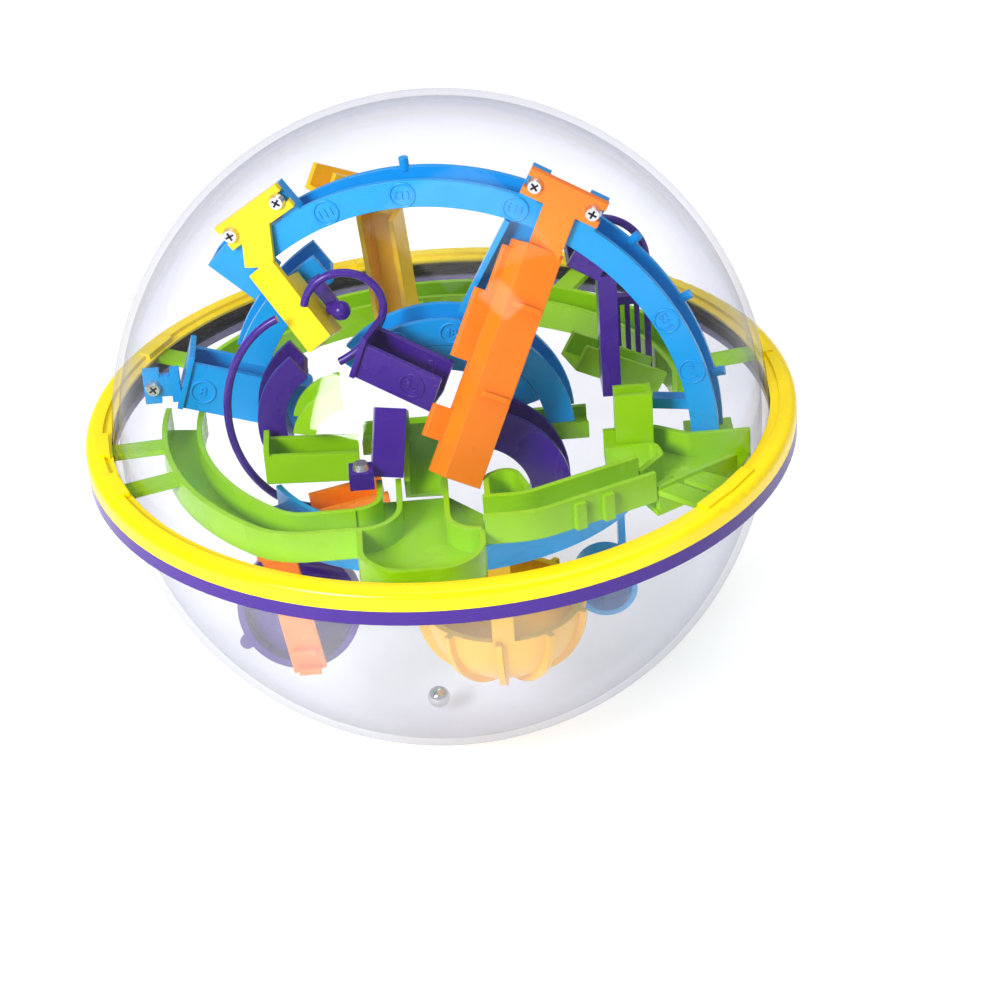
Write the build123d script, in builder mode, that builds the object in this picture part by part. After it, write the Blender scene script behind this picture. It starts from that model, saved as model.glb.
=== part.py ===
from build123d import *

import os
from math import cos, radians, sin, sqrt

# Ball maze in a clear sphere, millimetres, +Z up, origin at the sphere's centre.
# The rim lies in the XY plane and the deck, the level track inside it, straddles that plane.

os.makedirs("parts", exist_ok=True)

# Driving dimensions
sphere_diameter = 180.0
shell_wall = 2.0
ball_diameter = 6.35
ball_play = 1.65
track_wall = 1.5
track_floor = 1.5
track_height = 7.5
deck_top = 4.0
deck_height = 8.5
ring_track_radius = 71.0
rim_overhang = 7.4
rim_top = 5.0
rim_depth = 4.0
flange_width = 3.0
flange_thickness = 1.5
ledge_width = 2.4
ledge_drop = 1.0
pad_depth = 3.6
pad_rise = 0.6
arm_width = 6.0
arm_thickness = 1.6
arch_radius = 74.8
arch_yaw = 12.0
arch_lean = 1.5
fan_depth = 4.0
bracket_angles = (63.0, 126.0)
bracket_rise = 4.8
screw_offset = 8.3
post_width = 8.4
tab_screw_offset = 6.7
ring_drop = 9.0
beam_height = 10.5
middle_arch_radius = 35.0
side_arc_radius = 58.0
bracket_length = 22.0
bracket_width = 7.6
bracket_thickness = 2.0
screw_diameter = 3.0
screw_head_diameter = 4.6
screw_head_height = 1.6
boss_depth = 4.0
hoop_rod_diameter = 2.2
peg_diameter = 2.6
fit_clearance = 0.2
roll_clearance = 0.3

# Worked out from the driving dimensions
sphere_radius = sphere_diameter / 2
inside_radius = sphere_radius - shell_wall
scale = sphere_radius / 90
track_width = ball_diameter + ball_play + 2 * track_wall
deck_bottom = deck_top - deck_height
arm_top = flange_thickness + arm_thickness
rim_inner = sphere_radius + fit_clearance
rim_outer = sphere_radius + rim_overhang
recess_radius = sphere_radius + flange_width + fit_clearance
recess_height = arm_top + fit_clearance
arm_reach = sphere_radius + flange_width - fit_clearance
ring_radius = ring_track_radius * scale
arch_outer = arch_radius * scale
arch_inner = arch_outer - track_height
middle_outer = middle_arch_radius * scale
side_outer = side_arc_radius * scale
low = (Align.CENTER, Align.MIN)
up = Vector(0, 0, 1)


def at(x, y, z):
    """A point of the maze, which spreads with the sphere."""
    return Vector(x, y, z) * scale


def save(builder, name):
    builder.part.label = name
    export_step(builder.part, f"parts/{name}.step")


def channel_outline(width, height):
    """U outline: underside centred on the local origin, mouth toward local +Y."""
    Rectangle(width, height, align=low)
    with Locations((0, track_floor)):
        Rectangle(width - 2 * track_wall, height, align=low, mode=Mode.SUBTRACT)


def run_plane(start, along, opens):
    """Plane across a run: local Z leads along it and local Y points to the mouth."""
    return Plane(origin=start, x_dir=Vector(opens).cross(along), z_dir=along)


def straight_channel(start, end, opens, width=track_width, height=track_height):
    along = end - start
    with BuildSketch(run_plane(start, along, opens)) as section:
        channel_outline(width, height)
    extrude(section.sketch, amount=along.length)


def swept_channel(path, opens=(0, 0, 1), width=track_width, height=track_height):
    with BuildSketch(run_plane(path @ 0, path % 0, opens)) as section:
        channel_outline(width, height)
    sweep(section.sketch, path=path)


def upright_frame(origin, yaw=0.0, lean=0.0):
    """Frame of an upright arc: local X to the right, local Y up, local Z to the front."""
    level = Vector(-sin(radians(yaw)), -cos(radians(yaw)), 0)
    front = level * cos(radians(lean)) + up * sin(radians(lean))
    return Plane(origin=origin, x_dir=(cos(radians(yaw)), -sin(radians(yaw)), 0), z_dir=front)


def outward(frame, angle):
    return frame.x_dir * cos(radians(angle)) + frame.y_dir * sin(radians(angle))


def on_arc(frame, radius, angle, forward=0.0):
    """A point at a radius and an angle above the right-hand end, and forward of the frame."""
    return frame.origin + outward(frame, angle) * radius + frame.z_dir * forward


def arc_plane(frame, radius, angle):
    """Plane across an arc, local Y outwards and local Z along the arc."""
    out = outward(frame, angle)
    return Plane(origin=frame.origin + out * radius, x_dir=frame.z_dir, z_dir=frame.z_dir.cross(out))


def arc_channel(frame, radius, start, sweep_angle, width=track_width, height=track_height):
    """Channel bent round a frame's Z axis, its mouth outwards; radius is its underside."""
    with BuildSketch(arc_plane(frame, radius, start)) as section:
        channel_outline(width, height)
    revolve(section.sketch, axis=Axis(frame.origin, frame.z_dir), revolution_arc=sweep_angle)


def rod(points, diameter, bend):
    """Round bar along a bent line through the points."""
    with BuildLine() as line:
        FilletPolyline(*points, radius=bend)
    with BuildSketch(Plane(origin=line.line @ 0, z_dir=line.line % 0)) as section:
        Circle(diameter / 2)
    sweep(section.sketch, path=line.line)


def wall_along(points, bend, height, thickness=track_wall):
    """Upright wall that stands on the plane of its points."""
    with BuildLine() as line:
        FilletPolyline(*points, radius=bend)
    start = line.line @ 0
    tangent = line.line % 0
    with BuildSketch(run_plane(start, tangent, (0, 0, 1))) as section:
        Rectangle(thickness, height, align=low)
    sweep(section.sketch, path=line.line, transition=Transition.RIGHT)


def deck_slab(points, bottom, height):
    """Flat slab with a straight-sided outline."""
    with BuildSketch(Plane.XY.offset(bottom)) as section:
        with BuildLine():
            Polyline(*points, close=True)
        make_face()
    extrude(section.sketch, amount=height)


def rim_arm(angle, inner):
    """Flat arm that reaches from a deck track to its seat on the dome's flange."""
    direction = Vector(cos(radians(angle)), sin(radians(angle)), 0)
    arm_plane = Plane(origin=direction * inner + up * flange_thickness, x_dir=direction)
    with BuildSketch(arm_plane) as section:
        Rectangle(arm_reach - inner, arm_width, align=(Align.MIN, Align.CENTER))
    extrude(section.sketch, amount=arm_thickness)


def pan_screw(seat_point, outwards, shank_length):
    """Pan-head screw: its head sits on the seat, its shank runs inwards."""
    with BuildSketch(Plane(origin=seat_point, z_dir=outwards)) as head:
        Circle(screw_head_diameter / 2)
    extrude(head.sketch, amount=screw_head_height, taper=18)
    with BuildSketch(Plane(origin=seat_point, z_dir=outwards)) as shank:
        Circle(screw_diameter / 2 - fit_clearance / 2)
    extrude(shank.sketch, amount=-shank_length)


# Clear sphere: two domes, each with a flat flange round its mouth, the upper one notched
# for the deck's arms

arm_angles = (150, 186, 200, 318, 324, 12, 60, 100)


def dome_section(plane):
    with BuildSketch(plane) as section:
        Circle(sphere_radius)
        Circle(inside_radius, mode=Mode.SUBTRACT)
        Rectangle(sphere_radius, sphere_radius, align=(Align.MIN, Align.MIN), mode=Mode.INTERSECT)
        with Locations((sphere_radius - shell_wall / 2, 0)):
            Rectangle(flange_width + shell_wall / 2, flange_thickness, align=(Align.MIN, Align.MIN))
    return section.sketch


with BuildPart() as upper_dome:
    revolve(dome_section(Plane.XZ), axis=Axis.Z)
    for angle in arm_angles:
        direction = Vector(cos(radians(angle)), sin(radians(angle)), 0)
        notch_start = direction * (inside_radius - 2) + up * flange_thickness
        notch_plane = Plane(origin=notch_start, x_dir=direction)
        with BuildSketch(notch_plane) as notch:
            Rectangle(shell_wall + 4, arm_width + 2 * fit_clearance, align=(Align.MIN, Align.CENTER))
        extrude(notch.sketch, amount=arm_thickness + fit_clearance, mode=Mode.SUBTRACT)
save(upper_dome, "upper_dome")

with BuildPart() as lower_dome:
    revolve(dome_section(Plane(origin=(0, 0, 0), x_dir=(1, 0, 0), z_dir=(0, 1, 0))), axis=Axis.Z)
save(lower_dome, "lower_dome")


# Rim: two rings that clamp the domes' flanges between them


def ring(inner, outer, bottom, top):
    with BuildSketch(Plane.XY.offset(bottom)) as section:
        Circle(outer)
        Circle(inner, mode=Mode.SUBTRACT)
    extrude(section.sketch, amount=top - bottom)


def ring_recess(radius, bottom, top):
    with BuildSketch(Plane.XY.offset(bottom)) as section:
        Circle(radius)
        Circle(rim_inner - 1, mode=Mode.SUBTRACT)
    extrude(section.sketch, amount=top - bottom, mode=Mode.SUBTRACT)


with BuildPart() as upper_rim:
    ring(rim_inner, rim_outer, 0, rim_top)
    top_edges = upper_rim.edges().filter_by(GeomType.CIRCLE).group_by(Axis.Z)[-1].sort_by(SortBy.RADIUS)
    fillet(top_edges[-1], radius=2)
    ring_recess(recess_radius, 0, recess_height)
    ring_recess(rim_inner + ledge_width, rim_top - ledge_drop, rim_top)
    with BuildSketch(Plane.XY.offset(rim_top - ledge_drop)) as pads:
        for angle in arm_angles:
            with Locations(Location((0, 0, 0), (0, 0, angle))):
                with Locations((rim_inner + ledge_width, 0)):
                    Rectangle(pad_depth, arm_width * 2)
    extrude(pads.sketch, amount=ledge_drop + pad_rise)
save(upper_rim, "upper_rim")

with BuildPart() as lower_rim:
    ring(rim_inner, rim_outer, -rim_depth, 0)
    ring_recess(recess_radius, -flange_thickness - fit_clearance, 0)
save(lower_rim, "lower_rim")


# Deck: green tracks level with the rim

bend_turn = 42.0
run_line = 57.0 * scale
bend_radius = (run_line - ring_radius * cos(radians(bend_turn))) / (1 - cos(radians(bend_turn)))
cup_left = -24.0 * scale
cup_right = 9.0 * scale

with BuildPart() as green_left_track:
    with BuildLine(Plane.XY.offset(deck_bottom)) as path:
        turn = CenterArc((0, 0), ring_radius, 172, 98 - bend_turn)
        bend = JernArc(turn @ 1, turn % 1, bend_radius, bend_turn)
        Line(bend @ 1, (cup_left, -run_line))
    swept_channel(path.line, height=deck_height)
    for angle in arm_angles[1:3]:
        rim_arm(angle, ring_radius + track_width / 2 - track_wall / 2)
save(green_left_track, "green_left_track")

with BuildPart() as green_front_cup:
    deck_slab([at(-24, -48, 0), at(-24, -70, 0), at(-19, -81, 0), at(-8, -84.5, 0), at(3, -81, 0),
               at(8.9, -70, 0), at(8.9, -48, 0), at(0.4, -38, 0), at(-18, -38, 0)], deck_bottom, track_floor)
    outline = [at(-23.2, -62, deck_bottom / scale), at(-23.2, -83.6, deck_bottom / scale),
               at(8.1, -83.6, deck_bottom / scale), at(8.1, -67, deck_bottom / scale)]
    wall_along(outline, 12 * scale, deck_height)
    left_curl = [at(-24, -62, deck_bottom / scale), at(-12.6, -62, deck_bottom / scale),
                 at(-12.6, -38, deck_bottom / scale)]
    wall_along(left_curl, 10 * scale, deck_height)
    right_curl = [at(8.1, -66, deck_bottom / scale), at(-0.4, -66, deck_bottom / scale),
                  at(-0.4, -38, deck_bottom / scale)]
    wall_along(right_curl, 8 * scale, deck_height)
    inner_curl = [at(-24, -51.7, deck_bottom / scale), at(-17.6, -51.7, deck_bottom / scale),
                  at(-17.6, -38, deck_bottom / scale)]
    wall_along(inner_curl, 6 * scale, deck_height)
save(green_front_cup, "green_front_cup")

post_foot = at(-15.3, -40, 5.8)
slide_foot = at(0, -35, -4)
slide_foot.X = post_foot.X + (post_width + fit_clearance + track_width) / 2

with BuildPart() as green_center_slide:
    straight_channel(slide_foot, slide_foot + at(1, 22, 9), (0, 0, 1))
save(green_center_slide, "green_center_slide")

right_run = -62.6

with BuildLine(Plane.XY.offset(deck_bottom)) as right_path:
    FilletPolyline(at(8.9, right_run, 0), at(21, right_run, 0), at(52, -48.5, 0), radius=20 * scale)
right_end = right_path.line @ 1
right_heading = right_path.line % 1
right_side = Vector(right_heading.Y, -right_heading.X, 0) * track_width / 2

with BuildPart() as green_right_track:
    swept_channel(right_path.line, height=deck_height)
    hook_root = at(10.4, right_run, deck_bottom / scale) + Vector(0, track_width / 2 - 0.4, 0)
    hook = [hook_root, at(10.4, -40, deck_bottom / scale), at(17.5, -36, deck_bottom / scale),
            at(21, -47, deck_bottom / scale)]
    wall_along(hook, 3.5 * scale, deck_height)
    for share in (0.5, 0.68):
        heading = right_path.line % share
        lug_point = right_path.line @ share + Vector(heading.Y, -heading.X, 0) * track_width / 2
        with BuildSketch(Plane(origin=lug_point, x_dir=heading, z_dir=(0, 0, 1))) as lug:
            Rectangle(3, 3)
        extrude(lug.sketch, amount=deck_height - 1)
save(green_right_track, "green_right_track")

with BuildPart() as green_right_wing:
    inner_corner = right_end - right_side
    outer_corner = right_end + right_side
    base = Vector(0, 0, deck_bottom)
    wing_outline = [inner_corner, outer_corner, at(64, -47.5, 0), at(77, -39.5, 0), at(82, -26, 0),
                    at(66, -26, 0), at(57, -21, 0), at(43, -21, 0), at(43, -29.5, 0), at(57, -30.5, 0)]
    deck_slab(wing_outline, deck_bottom, track_floor)
    inset = right_side.normalized() * track_wall / 2
    wall_along([outer_corner - inset + base + right_heading * 0.5, at(63.5, -46.7, 0) + base,
                at(76.5, -39, 0) + base], 3, deck_height)
    wall_along([inner_corner + inset + base + right_heading * 0.5, at(57.2, -36, 0) + base,
                at(56, -30.2, 0) + base, at(43, -30.2, 0) + base], 2, deck_height)
    wall_along([at(43, -21, 0) + base, at(57, -21, 0) + base, at(65.5, -26.3, 0) + base,
                at(82, -26.3, 0) + base], 2, deck_height)
    with BuildSketch(Plane.XY.offset(deck_bottom)) as arch_foot:
        with Locations(at(72, -26.2, 0)):
            Rectangle(13, 14.2, align=low)
    extrude(arch_foot.sketch, amount=-deck_bottom - fit_clearance)
    for angle in arm_angles[3:5]:
        rim_arm(angle, outer_corner.length - track_wall)
save(green_right_wing, "green_right_wing")

with BuildPart() as green_right_tower:
    tower_base = at(56, -25.3, 0) + Vector(0, 0, deck_bottom + track_floor)
    tower_top = at(56, -25.3, 18)
    straight_channel(tower_base, tower_top, (-1, 0, 0), width=6.5, height=10)
save(green_right_tower, "green_right_tower")

with BuildPart() as green_upper_ledge:
    straight_channel(at(58, 11, -2), at(36, 4, 12), (0, 0, 1))
save(green_upper_ledge, "green_upper_ledge")

with BuildPart() as green_inner_trough:
    straight_channel(at(-48, -19, -2.5), at(-23, -19, -3.5), (0, 0, 1), height=deck_height)
    with BuildSketch(Plane(origin=at(-48, -19, -2.5), x_dir=(0, 1, 0), z_dir=(1, 0, 0))) as end_wall:
        Rectangle(track_width, deck_height + 2, align=low)
    extrude(end_wall.sketch, amount=track_wall)
save(green_inner_trough, "green_inner_trough")

with BuildPart() as green_back_track:
    with BuildLine(Plane.XY.offset(deck_bottom)) as path:
        CenterArc((0, 0), ring_radius, 8, 150)
    swept_channel(path.line, height=deck_height)
    for angle in (arm_angles[0], arm_angles[5], arm_angles[6], arm_angles[7]):
        rim_arm(angle, ring_radius + track_width / 2 - track_wall / 2)
save(green_back_track, "green_back_track")

# Blue tracks: upright arches over the deck, a ramp, a trough and a ring under the deck

arch_frame = upright_frame(at(1.9, -4, 0), arch_yaw, arch_lean)
middle_frame = upright_frame(at(1.5, -4, 0), 4)
side_frame = upright_frame(at(0, 11, 0))


def bracket_plane(angle):
    """The arch's front face where a bracket lies: local X outwards, local Y along the arch."""
    plate_centre = on_arc(arch_frame, arch_outer + bracket_rise, angle, track_width / 2)
    return Plane(origin=plate_centre, x_dir=outward(arch_frame, angle), z_dir=arch_frame.z_dir)


bracket_screws = [(angle, side * screw_offset) for angle in bracket_angles for side in (-1, 1)]

with BuildPart() as blue_arch:
    arc_channel(arch_frame, arch_inner, 0, 136)
    arc_channel(arch_frame, arch_inner - fan_depth, 134, 6, height=track_height + 2 * fan_depth)
    with BuildSketch(arc_plane(arch_frame, arch_inner - fan_depth, 140)) as end_wall:
        Rectangle(track_width, track_height + 2 * fan_depth, align=low)
    extrude(end_wall.sketch, amount=track_wall)
    for angle, offset_along in bracket_screws:
        with BuildSketch(bracket_plane(angle)) as boss:
            with Locations((-bracket_rise - 1, offset_along)):
                Rectangle(bracket_rise + 4, 5.2, align=(Align.MIN, Align.CENTER))
        extrude(boss.sketch, amount=-boss_depth)
        with BuildSketch(bracket_plane(angle)) as bore:
            with Locations((0, offset_along)):
                Circle(screw_diameter / 2)
        extrude(bore.sketch, amount=-boss_depth, mode=Mode.SUBTRACT)
    for angle in (12, 30, 46, 96):
        peg_root = on_arc(arch_frame, arch_outer - 1, angle, (track_wall - track_width) / 2)
        with BuildSketch(Plane(origin=peg_root, z_dir=outward(arch_frame, angle))) as peg:
            Circle(peg_diameter / 2)
        extrude(peg.sketch, amount=3.5)
    stub_root = on_arc(arch_frame, arch_inner + 1, 8, 1)
    with BuildSketch(Plane(origin=stub_root, z_dir=-outward(arch_frame, 0))) as stub:
        Rectangle(4, 3)
    extrude(stub.sketch, amount=11)
save(blue_arch, "blue_arch")

with BuildPart() as blue_link_ramp:
    ramp_top = on_arc(arch_frame, arch_inner - 1.5, 68, -1)
    ramp_foot = on_arc(middle_frame, middle_outer + 1, 72)
    straight_channel(ramp_top, ramp_foot, arch_frame.z_dir, height=6)
save(blue_link_ramp, "blue_link_ramp")

with BuildPart() as blue_middle_arch:
    arc_channel(middle_frame, middle_outer - track_height, 4, 134)
save(blue_middle_arch, "blue_middle_arch")

with BuildPart() as blue_inner_arch:
    arc_channel(middle_frame, middle_outer - 2 * track_height, 20, 100, height=track_height - fit_clearance)
save(blue_inner_arch, "blue_inner_arch")

with BuildPart() as blue_side_arc:
    arc_channel(side_frame, side_outer - 9, 122, 38, height=9)
save(blue_side_arc, "blue_side_arc")

trough_start = at(-72, 10, 7.5)
trough_end = at(-40, 10, -3)
trough_height = 14.0
tab_thickness = 2.4
tab_height = 10.0
trough_tab = trough_start + Vector(1.5, (tab_thickness - track_width) / 2, 6.5)
trough_screw_point = trough_tab + Vector(-7.4, 0, 0)

with BuildPart() as blue_left_trough:
    straight_channel(trough_start, trough_end, (0, 0, 1), height=trough_height)
    with BuildSketch(run_plane(trough_start, trough_end - trough_start, (0, 0, 1))) as end_flange:
        Rectangle(track_width + 2, trough_height + 2.5, align=low)
    extrude(end_flange.sketch, amount=track_wall)
    with BuildSketch(Plane(origin=trough_end, x_dir=(1, 0, 0), z_dir=(0, 0, 1))) as round_end:
        Circle(track_width / 2)
        Circle(track_width / 2 - track_wall, mode=Mode.SUBTRACT)
        Rectangle(track_width, track_width, align=(Align.MIN, Align.CENTER), mode=Mode.INTERSECT)
    extrude(round_end.sketch, amount=trough_height - 1)
    with Locations(trough_tab):
        Box(10, tab_thickness, tab_height, align=(Align.MAX, Align.CENTER, Align.CENTER))
    with Locations(trough_tab + Vector(-4, 0, tab_height / 2), trough_tab + Vector(-4, 0, -tab_height / 2)):
        Box(3, tab_thickness, 4, mode=Mode.SUBTRACT)
    with Locations(trough_screw_point):
        Cylinder(screw_diameter / 2, 6, rotation=(90, 0, 0), mode=Mode.SUBTRACT)
save(blue_left_trough, "blue_left_trough")

with BuildPart() as trough_screw:
    pan_screw(trough_screw_point + Vector(0, -tab_thickness / 2, 0), Vector(0, -1, 0), 4)
save(trough_screw, "trough_screw")

lower_ring_edge = 59.5 * scale
pillar_height = ring_drop - track_height
pillar_radius = 0.7

with BuildPart() as blue_lower_ring:
    with BuildLine(Plane.XY.offset(deck_bottom - ring_drop)) as path:
        CenterArc((0, 0), lower_ring_edge - track_width / 2, 203, 152)
    swept_channel(path.line)
    for angle in (242.7, 280.1):
        direction = Vector(cos(radians(angle)), sin(radians(angle)), 0)
        pillar_foot = direction * (lower_ring_edge - track_wall / 2) + up * (deck_bottom - pillar_height)
        with Locations(pillar_foot):
            Cylinder(pillar_radius, pillar_height, align=(Align.CENTER, Align.CENTER, Align.MIN))
save(blue_lower_ring, "blue_lower_ring")

# Brackets: forked plates screwed to the arch's bosses, each with the run that hangs from it


slot_width = screw_diameter + 2 * fit_clearance
slot_length = bracket_length - 2 * screw_offset + slot_width


def bracket_plate(angle):
    with BuildSketch(bracket_plane(angle)) as plate:
        Rectangle(bracket_width, bracket_length)
        for side in (-1, 1):
            with Locations((0, side * bracket_length / 2)):
                SlotOverall(slot_length, slot_width, rotation=90, mode=Mode.SUBTRACT)
    extrude(plate.sketch, amount=bracket_thickness)


def plate_run(start, end, mouth, width):
    """Flat plate whose outer face runs from start to end."""
    along = end - start
    with BuildSketch(run_plane(start, along, mouth)) as section:
        Rectangle(width, bracket_thickness, align=low)
    extrude(section.sketch, amount=along.length)


orange_angle, yellow_angle = bracket_angles
neck_forward = track_width / 2 + bracket_thickness
column_depth = 10.0
across_column = Vector(0.804, 0.221, -0.552)
column_mouth = Vector(-0.428, 0.86, -0.279)
column_foot = at(8.54, -43.57, 1.93) - across_column * track_width / 2
column_head = on_arc(arch_frame, arch_inner - 2.5, orange_angle - 1.5, neck_forward + 1)
column_axis = column_head - column_foot


def column_tab(along, sideways, depth, length, width, thickness):
    """Block on the column, centred at a share of its length and offset to its right and back."""
    centre = column_foot + column_axis * along + across_column * sideways + column_mouth * depth
    with BuildSketch(run_plane(centre, column_axis, column_mouth)) as section:
        Rectangle(width, thickness)
    extrude(section.sketch, amount=length / 2, both=True)


with BuildPart() as orange_column:
    bracket_plate(orange_angle)
    neck_top = on_arc(arch_frame, arch_outer + bracket_rise, orange_angle, neck_forward)
    neck_end = on_arc(arch_frame, arch_inner - 5, orange_angle - 1.5, neck_forward)
    plate_run(neck_top, neck_end, -arch_frame.z_dir, track_width - 2)
    straight_channel(column_foot, column_head, column_mouth, height=column_depth)
    for along, length, reach in ((0.86, 14, 2), (0.62, 19, 5.5), (0.2, 9, 5.5)):
        side = -(track_width + reach) / 2 + track_wall / 2
        column_tab(along, side, column_depth - 1, length, reach + track_wall, 2)
    for along in (0.37, 0.75):
        column_tab(along, 0.5, -0.5, 1.6, 8, 2)
    for along, length in ((0.82, 5), (0.66, 3.5)):
        column_tab(along, track_width / 2 + 1, column_depth - 2, length, 4, 2)
save(orange_column, "orange_column")

chute_mouth = Vector(0.356, 0.895, -0.27)
chute_elbow = at(-44.9, -2, 51)
chute_foot = at(-30.6, -13, 32.4)
chute_axis = chute_foot - chute_elbow
chute_width = 8.0

with BuildPart() as yellow_chute:
    bracket_plate(yellow_angle)
    neck_top = on_arc(arch_frame, arch_outer + bracket_rise, yellow_angle, neck_forward)
    plate_run(neck_top, chute_elbow, -arch_frame.z_dir, chute_width)
    plate_run(chute_elbow, chute_foot, chute_mouth, chute_width)
    straight_channel(chute_elbow + chute_axis * 0.25, chute_foot, chute_mouth, width=chute_width, height=9)
save(yellow_chute, "yellow_chute")

with BuildPart() as pan_head_screws:
    for angle, offset_along in bracket_screws:
        seat = bracket_plane(angle)
        seat_point = seat.origin + seat.y_dir * offset_along + seat.z_dir * bracket_thickness
        pan_screw(seat_point, seat.z_dir, bracket_thickness + boss_depth - 1)
save(pan_head_screws, "bracket_screws")

# Purple: the beam, the post, the hoops and the arm among the arches

# The beam ends against the column's left side
beam_start = at(-21, -18, 28)
beam_end = at(7.94, -23.67, 13.43) - across_column * track_width

with BuildPart() as purple_beam:
    straight_channel(beam_start, beam_end, (0, 0, 1), height=beam_height)
    with BuildSketch(run_plane(beam_start, beam_end - beam_start, (0, 0, 1))) as end_plate:
        Rectangle(track_width + 2, beam_height + 2.5, align=low)
    extrude(end_plate.sketch, amount=track_wall)
    with Locations(at(-1.5, -20.5, 27.5)):
        Cylinder(peg_diameter / 2, 4)
save(purple_beam, "purple_beam")

post_tab = post_foot + Vector(-tab_screw_offset, -0.5, 1.2)
post_tab_height = 5.0

with BuildPart() as purple_post:
    straight_channel(post_foot, post_foot + at(2.3, 9, 15.7), (0, 1, 0), width=post_width)
    with Locations(post_tab):
        Box(6.5, 6, post_tab_height)
    with Locations(post_tab):
        Cylinder(screw_diameter / 2, post_tab_height + 1, mode=Mode.SUBTRACT)
save(purple_post, "purple_post")

with BuildPart() as tab_screw:
    pan_screw(post_tab + up * post_tab_height / 2, up, 4)
save(tab_screw, "tab_screw")

with BuildPart() as purple_c_track:
    arc_channel(upright_frame(at(-25, -6, 8)), 17 * scale, 125, 80)
    with Locations(at(-38, -10, 0.5)):
        Box(12, 3, 2.4)
save(purple_c_track, "purple_c_track")

with BuildPart() as green_c_guide:
    arc_channel(upright_frame(at(-25, -17, 8)), 9 * scale, 95, 72, height=6)
save(green_c_guide, "green_c_guide")

with BuildPart() as purple_guard_hoop:
    with BuildLine(Plane(origin=at(-34, -14, 13), x_dir=(1, 0, 0), z_dir=(0, -1, 0))) as hoop:
        EllipticalCenterArc((0, 0), 23 * scale, 30 * scale, start_angle=108, arc_size=157)
    with BuildSketch(Plane(origin=hoop.line @ 0, z_dir=hoop.line % 0)) as section:
        Circle(hoop_rod_diameter / 2)
    sweep(section.sketch, path=hoop.line)
save(purple_guard_hoop, "purple_guard_hoop")

with BuildPart() as purple_small_hoop:
    with BuildLine(Plane(origin=at(-23.5, -10, 41), x_dir=(1, 0, 0), z_dir=(0, -1, 0))) as hoop:
        turn = CenterArc((0, 0), 10.5 * scale, 170, -200)
        JernArc(turn @ 1, turn % 1, 26 * scale, -35)
    with BuildSketch(Plane(origin=hoop.line @ 0, z_dir=hoop.line % 0)) as section:
        Circle(hoop_rod_diameter / 2)
    sweep(section.sketch, path=hoop.line)
save(purple_small_hoop, "purple_small_hoop")

with BuildPart() as purple_knob:
    plate_run(at(-31, -3.2, 47), at(-25.4, -5, 37.6), (0, 1, 0), 3.4)
    with BuildSketch(Plane(origin=at(-27.2, -4.4, 38.6), z_dir=(0.75, -0.6, 0.1))) as stem:
        Circle(1.8)
    extrude(stem.sketch, amount=4)
    with Locations(at(-24.4, -7, 38.9)):
        Sphere(2.7)
save(purple_knob, "purple_knob")

with BuildPart() as purple_arm:
    straight_channel(at(36, -8, 50), at(44, -8, 45), (0.5, 0, 0.9), height=5)
    straight_channel(at(44, -8, 46), at(44, -8, 10), (1, 0, 0), height=5)
save(purple_arm, "purple_arm")

with BuildPart() as purple_right_curve:
    arc_channel(upright_frame(at(7, -19, -12)), 16 * scale, -18, 100, height=11)
save(purple_right_curve, "purple_right_curve")

with BuildPart() as purple_comb:
    with BuildSketch(Plane(origin=at(54, 21, -8), z_dir=(0, 1, 0), x_dir=(1, 0, 0))) as comb:
        with Locations((0, -15)):
            Rectangle(13, 30)
        with Locations([(x, -16.5) for x in (-4, -1.3, 1.4, 4.1)]):
            Rectangle(1.3, 22, mode=Mode.SUBTRACT)
    extrude(comb.sketch, amount=2.5)
save(purple_comb, "purple_comb")

with BuildPart() as purple_dark_hoop:
    with BuildLine(Plane(origin=at(46, 12, 38), x_dir=(1, 0, 0), z_dir=(0, -1, 0))) as hoop:
        CenterArc((0, 0), 13 * scale, -20, 190)
    with BuildSketch(Plane(origin=hoop.line @ 0, z_dir=hoop.line % 0)) as section:
        Circle(hoop_rod_diameter / 2)
    sweep(section.sketch, path=hoop.line)
save(purple_dark_hoop, "purple_dark_hoop")

# Beams across the deck that carry the inner pieces

with BuildPart() as green_cross_beam:
    cross_left = at(-22, -4, deck_bottom / scale)
    cross_right = at(40, -4, deck_bottom / scale)
    straight_channel(cross_left, cross_right, (0, 0, 1), height=-deck_bottom)
save(green_cross_beam, "green_cross_beam")

with BuildPart() as green_back_spur:
    spur_end = at(-8, 30, deck_bottom / scale)
    spur_corner = track_width / 2 - spur_end.X
    spur_reach = sqrt((ring_radius - track_width / 2) ** 2 - spur_corner**2) - fit_clearance
    straight_channel(Vector(spur_end.X, spur_reach, deck_bottom), spur_end, (0, 0, 1), height=deck_height)
save(green_back_spur, "green_back_spur")

with BuildPart() as yellow_back_chute:
    straight_channel(at(-8, 42, 5), at(-11, 34, 50), (-0.4, -0.9, 0))
    straight_channel(at(-11, 34, 48), at(-29, 22, 60), (0, 0, 1))
save(yellow_back_chute, "yellow_back_chute")

# Lower hemisphere: dish and its strap, ribbed bowl, cup

dish_plane = Plane(origin=at(-43, -29, -40), z_dir=(-0.12, -0.95, 0.28))
with BuildPart() as purple_lower_dish:
    with BuildSketch(dish_plane) as disc:
        Circle(17 * scale)
    extrude(disc.sketch, amount=-7)
    with BuildSketch(dish_plane) as hollow:
        Circle(17 * scale - 2)
    extrude(hollow.sketch, amount=-5, mode=Mode.SUBTRACT)
    with BuildSketch(dish_plane) as lugs:
        for angle in (160, 235, 300):
            with Locations((17.5 * scale * cos(radians(angle)), 17.5 * scale * sin(radians(angle)))):
                Circle(2)
        Circle(17 * scale - 1, mode=Mode.SUBTRACT)
    extrude(lugs.sketch, amount=-4)
save(purple_lower_dish, "purple_lower_dish")

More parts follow.
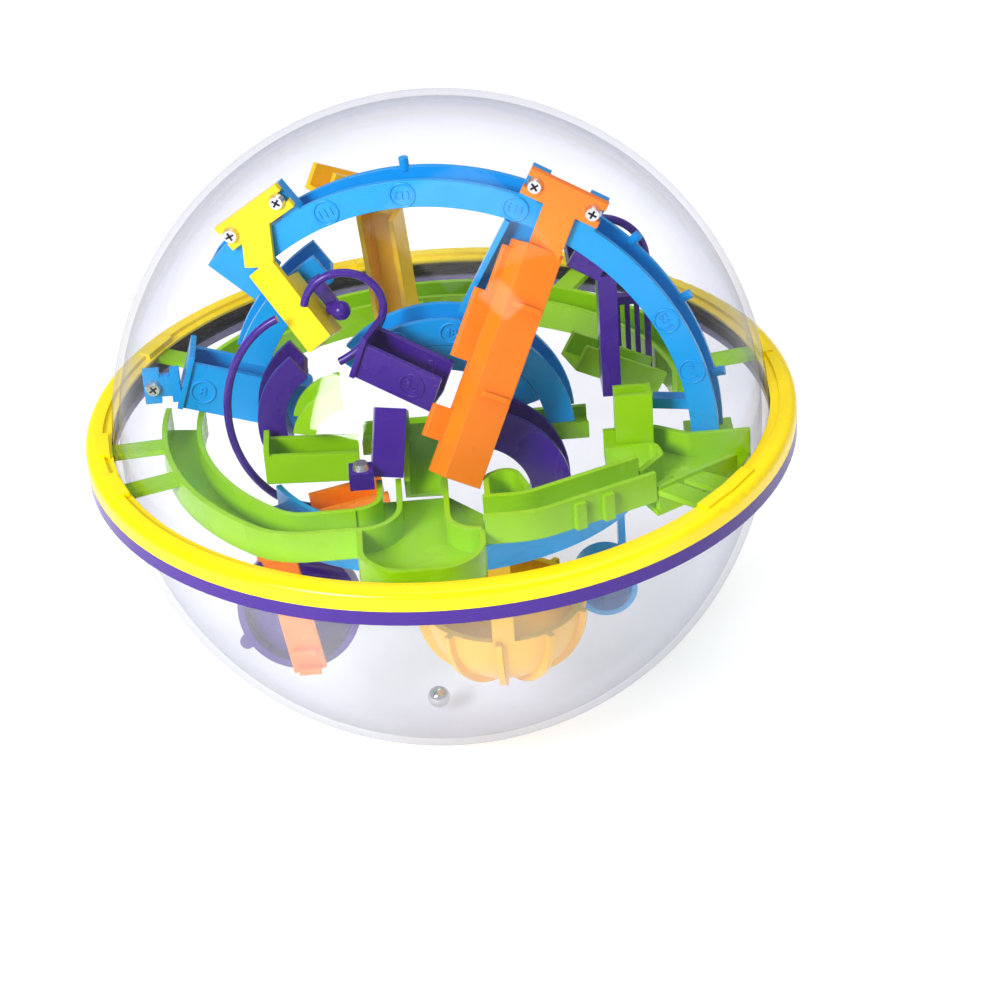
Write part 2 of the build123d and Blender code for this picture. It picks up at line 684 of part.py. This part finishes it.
with BuildPart() as orange_strap:
    plate_run(at(-46, -52, -6.5), at(-46, -41.6, -17), (0, 1, 1), 9)
    plate_run(at(-46, -42, -15), at(-41, -38.5, -54), (0, 1, 0), 9)
    with Locations(at(-41.8, -39.3, -47), at(-41, -39.3, -53)):
        Box(6, 3, 2)
    with Locations(at(-46, -53, -5.5)):
        Box(9, 8, 2)
save(orange_strap, "orange_strap")

run_start = at(-36, -26, 0).normalized() * (lower_ring_edge - 1.5 * track_width + 1.1)
run_start.Z = at(0, 0, -16).Z

with BuildPart() as orange_lower_run:
    straight_channel(run_start, at(-16, -22, -14), (0, 0, 1))
save(orange_lower_run, "orange_lower_run")

bowl_radius = 22.5 * scale
bowl_centre = at(13, -22, -46)
with BuildPart() as yellow_lower_bowl:
    with BuildSketch(Plane(origin=bowl_centre, x_dir=(1, 0, 0), z_dir=(0, -1, 0))) as section:
        Circle(bowl_radius)
        Circle(bowl_radius - shell_wall, mode=Mode.SUBTRACT)
        Rectangle(bowl_radius, bowl_radius, align=(Align.MIN, Align.MAX), mode=Mode.INTERSECT)
    revolve(section.sketch, axis=Axis(bowl_centre, (0, 0, 1)))
    for step in range(10):
        angle = 36 * step + 12
        rib_plane = Plane(origin=bowl_centre, x_dir=(cos(radians(angle)), sin(radians(angle)), 0),
                          z_dir=(sin(radians(angle)), -cos(radians(angle)), 0))
        with BuildSketch(rib_plane) as rib:
            Circle(bowl_radius + 2)
            Circle(bowl_radius - 1, mode=Mode.SUBTRACT)
            Rectangle(bowl_radius + 2, bowl_radius + 2, align=(Align.MIN, Align.MAX), mode=Mode.INTERSECT)
        extrude(rib.sketch, amount=0.9, both=True)
    plate_run(at(12, -44.3, -48), at(12, -48, deck_bottom / scale - 9.5), (0, 1, 0), 6)
save(yellow_lower_bowl, "yellow_lower_bowl")

with BuildPart() as blue_lower_cup:
    with BuildSketch(Plane(origin=at(42.6, -8, -51.5), z_dir=(0, -1, 0))) as cup:
        Circle(8.5 * scale)
    extrude(cup.sketch, amount=6, both=True)
    with BuildSketch(Plane(origin=at(42.6, -8, -51.5), z_dir=(0, -1, 0))) as hollow:
        Circle(8.5 * scale - track_wall)
    extrude(hollow.sketch, amount=6 + 1, mode=Mode.SUBTRACT)
    plate_run(at(48.6, -8, -46), at(48.6, -8, deck_bottom / scale - 9.5), (-1, 0, 0), 5)
save(blue_lower_cup, "blue_lower_cup")

with BuildPart() as steel_ball:
    with Locations(at(-7, -14, -82.5).normalized() * (inside_radius - ball_diameter / 2 - roll_clearance)):
        Sphere(ball_diameter / 2)
save(steel_ball, "steel_ball")
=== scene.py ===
from math import cos, radians, sin

import bmesh
import bpy
from mathutils import Matrix, Vector


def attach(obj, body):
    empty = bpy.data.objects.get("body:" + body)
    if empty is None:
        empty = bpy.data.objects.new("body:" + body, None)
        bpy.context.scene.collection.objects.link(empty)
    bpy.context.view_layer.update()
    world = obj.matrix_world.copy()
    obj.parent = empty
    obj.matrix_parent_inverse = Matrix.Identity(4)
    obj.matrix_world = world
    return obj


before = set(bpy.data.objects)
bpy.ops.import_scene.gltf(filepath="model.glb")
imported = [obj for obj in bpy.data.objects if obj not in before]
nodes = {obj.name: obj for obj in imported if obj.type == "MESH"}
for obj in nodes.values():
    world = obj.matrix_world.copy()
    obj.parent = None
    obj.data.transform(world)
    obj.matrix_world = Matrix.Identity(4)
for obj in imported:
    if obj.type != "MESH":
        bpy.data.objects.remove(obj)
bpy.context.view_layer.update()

# The studio round the ball maze: one square softbox high on the left, a dim window high on the
# right, a wide top light and an even white room. All values are metres and watts.


def light_to(name, place, target, width, height, watts):
    lamp = bpy.data.lights.new(name, "AREA")
    lamp.shape = "RECTANGLE"
    lamp.size = width
    lamp.size_y = height
    lamp.energy = watts
    lamp_object = bpy.data.objects.new(name, lamp)
    bpy.context.scene.collection.objects.link(lamp_object)
    aim = (Vector(target) - Vector(place)).to_track_quat("-Z", "Y")
    lamp_object.matrix_world = Matrix.Translation(place) @ aim.to_matrix().to_4x4()
    return lamp_object


light_distance = 1.2
softbox_spot = Vector((-0.024, -0.073, 0.046))
softbox_from = softbox_spot + Vector((-0.54, -0.66, 0.486)) * light_distance
light_to("softbox", softbox_from, softbox_spot, 0.40, 0.40, 17.0)
window_spot = Vector((0.017, -0.059, 0.065))
window_from = window_spot + Vector((0.374, -0.311, 0.874)) * light_distance
light_to("dim_window", window_from, window_spot, 0.20, 0.26, 0.9)
light_to("top_light", (0.25, 0.2, 1.5), (0, 0, 0), 1.1, 1.1, 9.0)

world = bpy.data.worlds.new("white_room")
bpy.context.scene.world = world
world.use_nodes = True
background = world.node_tree.nodes["Background"]
background.inputs["Color"].default_value = (1.0, 1.0, 1.0, 1.0)
background.inputs["Strength"].default_value = 0.42
bpy.context.scene.view_settings.view_transform = "Standard"

camera_data = bpy.data.cameras.new("camera")
camera_data.lens = 104.548
camera_data.sensor_width = 36.0
camera_data.clip_start = 0.01
camera = bpy.data.objects.new("camera", camera_data)
bpy.context.scene.collection.objects.link(camera)
camera_right = Vector((0.99664895, -0.05630323, -0.05933643))
camera_up = Vector((0.07981895, 0.51082962, 0.85596848))
camera_back = Vector((-0.01788298, -0.85783626, 0.51361187))
camera.matrix_world = Matrix.Translation((0.0, -0.698338, 0.390288)) @ Matrix(
    (camera_right, camera_up, camera_back)
).transposed().to_4x4()
bpy.context.scene.camera = camera


def paint(code):
    """Linear colour from an sRGB hex value."""
    parts = [int(code[i : i + 2], 16) / 255 for i in (1, 3, 5)]
    return tuple(c / 12.92 if c <= 0.04045 else ((c + 0.055) / 1.055) ** 2.4 for c in parts) + (1.0,)


def add_node(material, kind, settings=None, inputs=None, links=None):
    """One shader node: its settings, its input values and what is linked into it."""
    node = material.node_tree.nodes.new(kind)
    for key, value in (settings or {}).items():
        setattr(node, key, value)
    for key, value in (inputs or {}).items():
        node.inputs[key].default_value = value
    for key, source in (links or {}).items():
        material.node_tree.links.new(source, node.inputs[key])
    return node


def new_material(name):
    material = bpy.data.materials.new(name)
    material.use_nodes = True
    material.node_tree.nodes.clear()
    return material


def wear(material, node_names):
    """Gives a material to CAD nodes."""
    for node_name in node_names:
        for slot in nodes[node_name].material_slots:
            slot.material = material


# Table top: a sheet of matt white acrylic, very slightly grained and faintly lit from below.
# The sphere stands on it; the sheet belongs to the stage and not to the puzzle.
tabletop = new_material("white_acrylic")
coordinate = add_node(tabletop, "ShaderNodeTexCoord")
grain = add_node(tabletop, "ShaderNodeTexNoise", inputs={"Scale": 90.0, "Detail": 3.0},
                 links={"Vector": coordinate.outputs["Object"]})
grain_tint = add_node(tabletop, "ShaderNodeMix", {"data_type": "RGBA"},
                      {6: paint("#F7F7F8"), 7: paint("#FBFBFB")}, {0: grain.outputs[0]})
acrylic = add_node(tabletop, "ShaderNodeBsdfPrincipled",
                    inputs={"Roughness": 0.6, "Emission Color": paint("#FFFFFF"), "Emission Strength": 0.3},
                    links={"Base Color": grain_tint.outputs[2]})
add_node(tabletop, "ShaderNodeOutputMaterial", links={"Surface": acrylic.outputs[0]})

table_top = -0.0901
table_half_width = 6.0
table_mesh = bmesh.new()
bmesh.ops.create_grid(table_mesh, x_segments=1, y_segments=1, size=table_half_width,
                      matrix=Matrix.Translation((0, 0, table_top)))
table_data = bpy.data.meshes.new("table")
table_mesh.to_mesh(table_data)
table_mesh.free()
table_data.materials.append(tabletop)
table = bpy.data.objects.new("table", table_data)
bpy.context.scene.collection.objects.link(table)

# Domes: two clear polystyrene half shells, 2 mm thick, blown smooth and pressed together at the rim.
# Head on they are almost invisible; towards the edge they turn grey and mirror the room. The lower
# one carries a stronger whitish diffuse haze all over, a painted reflection of the surroundings.


def clear_polystyrene(name, haze_least, haze_most):
    """Clear plastic: light passes tinted, a little is mirrored and a noisy diffuse haze scatters a little; a
    strong haze is painted reflection.
    """
    clear = new_material(name)
    angle_seen = add_node(clear, "ShaderNodeLayerWeight", inputs={"Blend": 0.5})
    edge_power = add_node(clear, "ShaderNodeMath", {"operation": "POWER"}, {1: 5.0},
                          {0: angle_seen.outputs["Facing"]})
    mirror_share = add_node(clear, "ShaderNodeMath", {"operation": "MULTIPLY_ADD", "use_clamp": True},
                            {1: 0.4, 2: 0.013}, {0: edge_power.outputs[0]})
    tint_power = add_node(clear, "ShaderNodeMath", {"operation": "POWER"}, {1: 3.0},
                          {0: angle_seen.outputs["Facing"]})
    tint = add_node(clear, "ShaderNodeMix", {"data_type": "RGBA"},
                    {6: paint("#FDFDFF"), 7: paint("#E4E5EC")}, {0: tint_power.outputs[0]})
    see_through = add_node(clear, "ShaderNodeBsdfTransparent", links={"Color": tint.outputs[2]})
    coordinate = add_node(clear, "ShaderNodeTexCoord")
    smear = add_node(clear, "ShaderNodeTexNoise", inputs={"Scale": 28.0, "Detail": 5.0, "Roughness": 0.65},
                     links={"Vector": coordinate.outputs["Object"]})
    haze_share = add_node(clear, "ShaderNodeMapRange",
                          inputs={1: 0.45, 2: 0.75, 3: haze_least, 4: haze_most},
                          links={0: smear.outputs[0]})
    haze = add_node(clear, "ShaderNodeBsdfDiffuse", inputs={"Color": paint("#F6F6FA")})
    body_light = add_node(clear, "ShaderNodeMixShader",
                          links={0: haze_share.outputs[0], 1: see_through.outputs[0], 2: haze.outputs[0]})
    polish = add_node(clear, "ShaderNodeMapRange", inputs={1: 0.4, 2: 0.8, 3: 0.02, 4: 0.07},
                      links={0: smear.outputs[0]})
    mirror = add_node(clear, "ShaderNodeBsdfGlossy", links={"Roughness": polish.outputs[0]})
    shell_light = add_node(clear, "ShaderNodeMixShader", links={
        0: mirror_share.outputs[0], 1: body_light.outputs[0], 2: mirror.outputs[0]})
    add_node(clear, "ShaderNodeOutputMaterial", links={"Surface": shell_light.outputs[0]})
    return clear


wear(clear_polystyrene("clear_polystyrene", 0.0008, 0.006), ("upper_dome",))
# The lower dome's strong diffuse haze is painted reflection of the surroundings, not scuffing.
wear(clear_polystyrene("hazed_clear_polystyrene_painted_reflection", 0.07, 0.12), ("lower_dome",))

# Coloured parts: injection moulded ABS, each part in one strong colour, glossy with soft moulded
# edges. The moulds leave a faint ripple and flow marks, and handling leaves duller patches.


def moulded_abs(name, deep, bright, edge_radius=0.00035, roughness=0.24):
    """Glossy ABS: colour drifts a little with the flow, and edges are rounded."""
    material = new_material(name)
    place = add_node(material, "ShaderNodeTexCoord")
    flow = add_node(material, "ShaderNodeTexNoise", inputs={"Scale": 45.0, "Detail": 3.0, "Distortion": 0.6},
                    links={"Vector": place.outputs["Object"]})
    colour = add_node(material, "ShaderNodeMix", {"data_type": "RGBA"}, {6: paint(deep), 7: paint(bright)},
                      {0: flow.outputs[0]})
    ripple = add_node(material, "ShaderNodeTexNoise", inputs={"Scale": 900.0, "Detail": 2.0},
                      links={"Vector": place.outputs["Object"]})
    dullness = add_node(material, "ShaderNodeMapRange",
                        inputs={1: 0.35, 2: 0.7, 3: roughness - 0.05, 4: roughness + 0.12},
                        links={0: flow.outputs[0]})
    rounding = add_node(material, "ShaderNodeBevel", {"samples": 4}, {"Radius": edge_radius})
    bump = add_node(material, "ShaderNodeBump", inputs={"Strength": 0.05, "Distance": 0.0002},
                    links={"Height": ripple.outputs[0], "Normal": rounding.outputs[0]})
    plastic = add_node(material, "ShaderNodeBsdfPrincipled",
                       inputs={"IOR": 1.53, "Specular IOR Level": 0.32},
                       links={"Base Color": colour.outputs[2], "Roughness": dullness.outputs[0],
                              "Normal": bump.outputs[0]})
    add_node(material, "ShaderNodeOutputMaterial", links={"Surface": plastic.outputs[0]})
    return material


green_abs = moulded_abs("lime_green_abs", "#84BE00", "#98D000")
blue_abs = moulded_abs("sky_blue_abs", "#008CD2", "#00A2E8")
yellow_abs = moulded_abs("yellow_abs", "#FFDA00", "#FFE600")
orange_abs = moulded_abs("orange_abs", "#FC7A04", "#FF8A10")
purple_abs = moulded_abs("purple_abs", "#34127A", "#421C8A")
amber_abs = moulded_abs("amber_yellow_abs", "#F2B400", "#FFC800")

by_colour = {"green": green_abs, "blue": blue_abs, "yellow": yellow_abs, "orange": orange_abs,
             "purple": purple_abs}
for node_name in nodes:
    first_word = node_name.split("_")[0]
    if first_word in by_colour:
        wear(by_colour[first_word], (node_name,))
wear(amber_abs, ("yellow_lower_bowl", "yellow_back_chute"))
wear(yellow_abs, ("upper_rim",))
wear(purple_abs, ("lower_rim",))

# Ball and screws: the ball is a polished bearing ball that rolls loose in the sphere, the screws are
# zinc-plated steel pan heads driven into the bosses behind the brackets and tabs.


def plated_metal(name, colour, roughness, grain_size, depth):
    material = new_material(name)
    place = add_node(material, "ShaderNodeTexCoord")
    scuffs = add_node(material, "ShaderNodeTexNoise", inputs={"Scale": 1 / grain_size, "Detail": 4.0},
                      links={"Vector": place.outputs["Object"]})
    dullness = add_node(material, "ShaderNodeMapRange",
                        inputs={1: 0.3, 2: 0.7, 3: roughness, 4: roughness * 2},
                        links={0: scuffs.outputs[0]})
    bump = add_node(material, "ShaderNodeBump", inputs={"Strength": depth, "Distance": 0.0001},
                    links={"Height": scuffs.outputs[0]})
    metal = add_node(material, "ShaderNodeBsdfPrincipled",
                     inputs={"Metallic": 1.0, "Base Color": paint(colour)},
                     links={"Roughness": dullness.outputs[0], "Normal": bump.outputs[0]})
    add_node(material, "ShaderNodeOutputMaterial", links={"Surface": metal.outputs[0]})
    return material


ball_steel = plated_metal("polished_bearing_steel", "#C9CACD", 0.06, 0.002, 0.03)
screw_zinc = plated_metal("zinc_plated_steel", "#D2D2D0", 0.2, 0.0006, 0.2)
wear(ball_steel, ("steel_ball",))
wear(screw_zinc, ("bracket_screws", "tab_screw", "trough_screw"))

# Step numbers: every stretch of the maze has its number raised in a ring on its side wall, moulded
# with the part. On the main arch they read from above, so they stand on their heads here.


def upright_frame(origin, yaw, lean=0.0):
    """Centre of an upright arc, and its directions to the right, up and to the front."""
    level = Vector((-sin(radians(yaw)), -cos(radians(yaw)), 0))
    front = level * cos(radians(lean)) + Vector((0, 0, sin(radians(lean))))
    right = Vector((cos(radians(yaw)), -sin(radians(yaw)), 0))
    return Vector(origin), right, front.cross(right), front


def place_on(centre, outwards, head_up):
    """Matrix that lays a flat mark on a wall: its face outwards and its head toward head_up."""
    outwards = Vector(outwards).normalized()
    sideways = Vector(head_up).cross(outwards).normalized()
    upwards = outwards.cross(sideways)
    columns = Matrix((sideways, upwards, outwards)).transposed().to_4x4()
    return Matrix.Translation(centre) @ columns


def on_arc(arc, radius, angle, forward):
    """A point at a radius and an angle above the right-hand end, and forward of the arc's plane."""
    centre, right, up, front = arc
    return centre + (right * cos(radians(angle)) + up * sin(radians(angle))) * radius + front * forward


def outward(arc, angle):
    """Direction from the arc's centre at an angle."""
    return arc[1] * cos(radians(angle)) + arc[2] * sin(radians(angle))


def piece_from(name, mesh, material, body="maze"):
    """Makes a bmesh a piece of the object."""
    bmesh.ops.recalc_face_normals(mesh, faces=mesh.faces)
    data = bpy.data.meshes.new(name)
    mesh.to_mesh(data)
    mesh.free()
    data.materials.append(material)
    piece = bpy.data.objects.new(name, data)
    bpy.context.scene.collection.objects.link(piece)
    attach(piece, body)
    return piece


def number_mark(name, digits, place, ring_radius, material):
    """Raised digits inside a raised ring."""
    text = bpy.data.curves.new(name + "_text", "FONT")
    text.body = digits
    text.size = ring_radius * (1.25 if len(digits) < 3 else 1.0)
    text.extrude = 0.0003
    text.align_x = "CENTER"
    text.align_y = "CENTER"
    text_object = bpy.data.objects.new(name + "_text", text)
    bpy.context.scene.collection.objects.link(text_object)
    solved = text_object.evaluated_get(bpy.context.evaluated_depsgraph_get())
    digit_mesh = bpy.data.meshes.new_from_object(solved)
    bpy.data.objects.remove(text_object)
    mark = bmesh.new()
    mark.from_mesh(digit_mesh)
    bmesh.ops.remove_doubles(mark, verts=mark.verts, dist=0.00001)
    upright = Matrix.Translation((ring_radius, 0, 0)) @ Matrix.Rotation(radians(90), 4, "X")
    section = bmesh.ops.create_circle(mark, segments=8, radius=0.0004, matrix=upright)
    edges = list({edge for vert in section["verts"] for edge in vert.link_edges})
    bmesh.ops.spin(mark, geom=section["verts"] + edges, cent=(0, 0, 0), axis=(0, 0, 1), angle=radians(360),
                   steps=48, use_merge=True)
    bmesh.ops.transform(mark, matrix=place, verts=mark.verts)
    return piece_from(name, mark, material)


main_arch = upright_frame((0.0019, -0.004, 0), 12, 1.5)
middle_arch = upright_frame((0.0015, -0.004, 0), 4)
wall_face = 0.00553
main_wall_radius = 0.0709
middle_wall_radius = 0.0312
for digits, angle in (("111", 113), ("112", 95.6), ("113", 71.2), ("115", 30), ("116", 17)):
    spot = on_arc(main_arch, main_wall_radius, angle, wall_face)
    number_mark("arch_number_" + digits, digits,
                place_on(spot, main_arch[3], -outward(main_arch, angle)), 0.0033, blue_abs)
for digits, angle in (("47", 112), ("48", 84)):
    spot = on_arc(middle_arch, middle_wall_radius, angle, wall_face)
    number_mark("middle_arch_number_" + digits, digits,
                place_on(spot, middle_arch[3], outward(middle_arch, angle)), 0.0029, blue_abs)

beam_start = Vector((-0.021, -0.018, 0.028))
beam_along = (Vector((-0.0009, -0.0261, 0.0195)) - beam_start).normalized()
beam_front = beam_along.cross(Vector((0, 0, 1))).normalized()
beam_up = beam_front.cross(beam_along)
beam_spot = beam_start + beam_along * 0.0165 + beam_up * 0.0052 + beam_front * wall_face
number_mark("beam_number", "36", place_on(beam_spot, beam_front, beam_up), 0.0033, purple_abs)
number_mark("trough_number", "8", place_on((-0.0645, 0.00447, 0.0115), (0, -1, 0), (0.3, 0, 1)), 0.0033,
            blue_abs)
dish_face = Vector((-0.12, -0.95, 0.28)).normalized()
dish_floor = Vector((-0.043, -0.029, -0.040)) - dish_face * 0.00497
number_mark("dish_number", "18", place_on(dish_floor + Vector((-0.0075, 0, -0.004)), dish_face, (0, 0, 1)),
            0.0036, purple_abs)

# Screw recesses: each zinc-plated pan head has a cross recess, drawn as two bars just out of the head
# in dark grey, painted shade for the recess. The heads turn by hand at fitting, so the crosses stand at
# different angles.
recess_painted_shade = plated_metal("painted_shade_recess", "#3A3A3C", 0.5, 0.0006, 0.2)


def cross_recess(name, centre, outwards, turn):
    """Two crossed bars that just stand out of a screw head, dark grey as painted shade of its recess."""
    cross = bmesh.new()
    for angle in (turn, turn + 90):
        bmesh.ops.create_cube(cross, size=1.0, matrix=Matrix.Rotation(radians(angle), 4, "Z")
                              @ Matrix.Diagonal((0.0024, 0.00055, 0.00016, 1.0)))
    bmesh.ops.transform(cross, matrix=place_on(centre, outwards, (0, 0, 1)), verts=cross.verts)
    return piece_from(name, cross, recess_painted_shade)


bracket_front = 0.0055 + 0.002
head_height = 0.0016
screw_radius_on_arch = 0.0796
screw_offset = 0.0083
for name, angle in (("orange", 63.0), ("yellow", 126.0)):
    tangent = outward(main_arch, angle + 90)
    for side in (-1, 1):
        head_top = on_arc(main_arch, screw_radius_on_arch, angle, bracket_front + head_height)
        head_top = head_top + tangent * (screw_offset * side)
        cross_recess(f"{name}_screw_recess_{'a' if side < 0 else 'b'}", head_top, main_arch[3], 30 * side)
cross_recess("tab_screw_recess", (-0.022, -0.0405, 0.0095 + head_height), (0, 0, 1), 20)
cross_recess("trough_screw_recess", (-0.0779, 0.0045 - head_height, 0.014), (0, -1, 0), 35)
